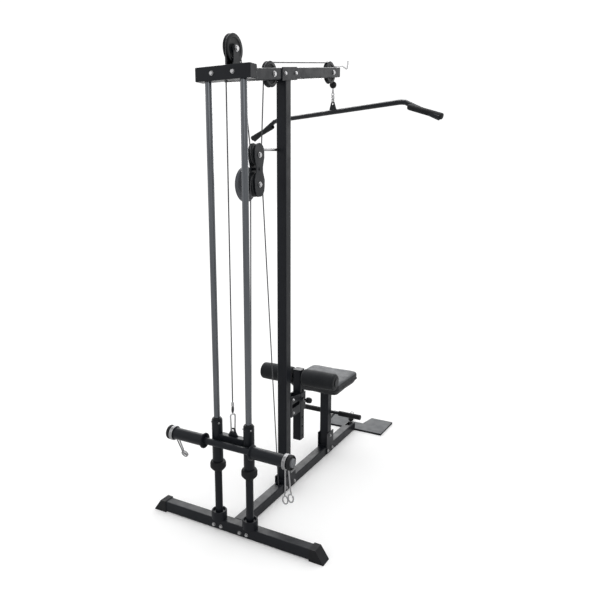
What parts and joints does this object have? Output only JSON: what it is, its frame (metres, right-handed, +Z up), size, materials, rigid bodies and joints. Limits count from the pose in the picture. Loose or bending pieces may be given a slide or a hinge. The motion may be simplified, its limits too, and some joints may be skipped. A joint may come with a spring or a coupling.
{
  "type": "lat pulldown machine",
  "caption": "Plate-loaded cable machine: wide hanging pulldown bar, low row handle, padded seat, foam thigh rollers and a weight carriage on chrome guide rods.",
  "frame": {"origin": "on the floor, in the middle of the machine's footprint", "axes": "+Z up, +Y towards the weight carriage, -Y towards the seat and foot plate, +X the seated user's right"},
  "size_m": [1.2718, 1.594, 2.1905],
  "materials": {
    "powder_coat": "satin black powder coat",
    "zinc_steel": "bright zinc plate",
    "chrome": "polished",
    "steel_cable": "twisted wire",
    "rubber": "matte",
    "foam": "matte closed-cell foam",
    "vinyl": "grained vinyl",
    "nylon": "satin"
  },
  "bodies": {
    "frame": {"rear_crossmember": "powder_coat", "foot_cap_left": "rubber", "foot_cap_right": "rubber", "base_beam": "powder_coat", "mast": "powder_coat", "boom": "powder_coat", "boom_end_cap": "nylon", "boom_saddle": "powder_coat", "top_crossbeam": "powder_coat", "rear_pulley_bracket": "powder_coat", "guide_rod_left": "chrome", "guide_rod_right": "chrome", "stop_tube_left": "powder_coat", "stop_tube_right": "powder_coat", "seat_post": "powder_coat", "seat_pad": "vinyl", "foot_plate": "powder_coat", "holddown_bracket": "powder_coat", "bar_hook": "zinc_steel", "front_axle": "zinc_steel", "mid_axle": "zinc_steel", "rear_axle": "zinc_steel", "cable_top": "steel_cable", "block_cable_upper": "steel_cable", "carriage_cable": "steel_cable", "block_cable_lower": "steel_cable", "low_cable_run": "steel_cable"},
    "carriage": {"carriage_frame": "powder_coat", "guide_bush_left": "nylon", "guide_bush_right": "nylon", "bumper_left": "rubber", "bumper_right": "rubber", "load_sleeve_left": "powder_coat", "load_sleeve_right": "powder_coat", "eye_plate": "powder_coat", "carriage_carabiner": "zinc_steel"},
    "clip_left": {"spring_clip_left": "chrome"},
    "clip_right": {"spring_clip_right": "chrome"},
    "lat_end": {"lat_stop_ball": "rubber"},
    "lat_hanger": {"lat_chain": "zinc_steel"},
    "lat_handle": {"lat_bar": "powder_coat", "lat_grip_left": "rubber", "lat_grip_right": "rubber"},
    "front_wheel": {"front_pulley": "nylon"},
    "mid_wheel": {"mid_pulley": "nylon"},
    "rear_wheel": {"rear_pulley": "nylon"},
    "block": {"pulley_block": "powder_coat", "upper_axle": "zinc_steel", "lower_axle": "zinc_steel"},
    "upper_wheel": {"upper_sheave": "nylon"},
    "lower_wheel": {"lower_sheave": "nylon"},
    "outer_wheel": {"guide_wheel": "nylon"},
    "low_front_wheel": {"low_front_pulley": "nylon"},
    "low_rear_wheel": {"low_rear_pulley": "nylon"},
    "low_end": {"low_stop_ball": "rubber"},
    "row_handle": {"low_row_bar": "rubber"},
    "holddown": {"holddown_post": "powder_coat"},
    "roller_left": {"thigh_roller_left": "foam"},
    "roller_right": {"thigh_roller_right": "foam"},
    "pin": {"pop_pin": "nylon"}
  },
  "joints": [
    {"name": "carriage_lift", "type": "slide", "parent": "frame", "child": "carriage", "axis": [0, 0, 1], "range_m": [0, 1], "deforming": ["carriage_cable"]},
    {"name": "clip_left_slide", "type": "slide", "parent": "carriage", "child": "clip_left", "axis": [1, 0, 0], "range_m": [0, 0.05]},
    {"name": "clip_right_slide", "type": "slide", "parent": "carriage", "child": "clip_right", "axis": [-1, 0, 0], "range_m": [0, 0.05]},
    {"name": "lat_pull", "type": "slide", "parent": "frame", "child": "lat_end", "axis": [0, 0, -1], "range_m": [0, 1]},
    {"name": "lat_swivel", "type": "hinge", "parent": "lat_end", "child": "lat_hanger", "pos_m": [0, -0.2487, 2.01], "axis": [0, 0, 1], "range_deg": [-55, 85]},
    {"name": "lat_rock", "type": "hinge", "parent": "lat_hanger", "child": "lat_handle", "pos_m": [0, -0.2487, 1.951], "axis": [0.3173, 0.9483, 0], "range_deg": [-15, 15]},
    {"name": "front_spin", "type": "hinge", "parent": "frame", "child": "front_wheel", "pos_m": [0, -0.201, 2.09775], "axis": [1, 0, 0], "range_deg": [0, 1206.2]},
    {"name": "mid_spin", "type": "hinge", "parent": "frame", "child": "mid_wheel", "pos_m": [0, 0.393, 2.00865], "axis": [1, 0, 0], "range_deg": [0, 1206.2]},
    {"name": "rear_spin", "type": "hinge", "parent": "frame", "child": "rear_wheel", "pos_m": [0, 0.669, 2.065], "axis": [1, 0, 0], "range_deg": [0, 1146.3]},
    {"name": "upper_spin", "type": "hinge", "parent": "block", "child": "upper_wheel", "pos_m": [0, 0.507, 1.667], "axis": [1, 0, 0], "range_deg": [-1412.8, 0]},
    {"name": "block_travel", "type": "slide", "parent": "frame", "child": "block", "axis": [0, 0, -1], "range_m": [0, 0.42], "deforming": ["block_cable_upper", "block_cable_lower"]},
    {"name": "row_pull", "type": "slide", "parent": "frame", "child": "low_end", "axis": [0, -0.45, 0.893], "range_m": [0, 0.84]},
    {"name": "lower_spin", "type": "hinge", "parent": "block", "child": "lower_wheel", "pos_m": [0, 0.507, 1.543], "axis": [1, 0, 0], "range_deg": [0, 520.3]},
    {"name": "low_front_spin", "type": "hinge", "parent": "frame", "child": "low_front_wheel", "pos_m": [0, -0.538, 0.0295], "axis": [1, 0, 0], "range_deg": [-2448.1, 0]},
    {"name": "low_rear_spin", "type": "hinge", "parent": "frame", "child": "low_rear_wheel", "pos_m": [0, 0.309, 0.0295], "axis": [1, 0, 0], "range_deg": [-2448.1, 0]},
    {"name": "outer_wheel_spin", "type": "hinge", "parent": "block", "child": "outer_wheel", "pos_m": [0.055, 0.507, 1.543], "axis": [1, 0, 0], "continuous": true},
    {"name": "row_handle_lift", "type": "slide", "parent": "frame", "child": "row_handle", "axis": [0, 0, 1], "range_m": [0, 0.1]},
    {"name": "holddown_height", "type": "slide", "parent": "frame", "child": "holddown", "axis": [0, 0, 1], "range_m": [-0.05, 0.1]},
    {"name": "roller_left_spin", "type": "hinge", "parent": "holddown", "child": "roller_left", "pos_m": [0, 0.119, 0.564], "axis": [1, 0, 0], "continuous": true},
    {"name": "roller_right_spin", "type": "hinge", "parent": "holddown", "child": "roller_right", "pos_m": [0, 0.119, 0.564], "axis": [1, 0, 0], "continuous": true},
    {"name": "pin_pull", "type": "slide", "parent": "frame", "child": "pin", "axis": [-1, 0, 0], "range_m": [0, 0.012], "stiffness_N_per_m": 600, "springref_m": -0.002}
  ],
  "couplings": [
    {"joint": "lat_pull", "follows": "carriage_lift", "ratio": 1},
    {"joint": "front_spin", "follows": "carriage_lift", "rad_per_m": 20.964},
    {"joint": "mid_spin", "follows": "carriage_lift", "rad_per_m": 20.964},
    {"joint": "rear_spin", "follows": "carriage_lift", "rad_per_m": 19.92},
    {"joint": "upper_spin", "follows": "carriage_lift", "rad_per_m": -24.57},
    {"joint": "row_pull", "follows": "block_travel", "ratio": 2},
    {"joint": "lower_spin", "follows": "block_travel", "rad_per_m": 21.413},
    {"joint": "low_front_spin", "follows": "block_travel", "rad_per_m": -101.52},
    {"joint": "low_rear_spin", "follows": "block_travel", "rad_per_m": -101.52}
  ]
}
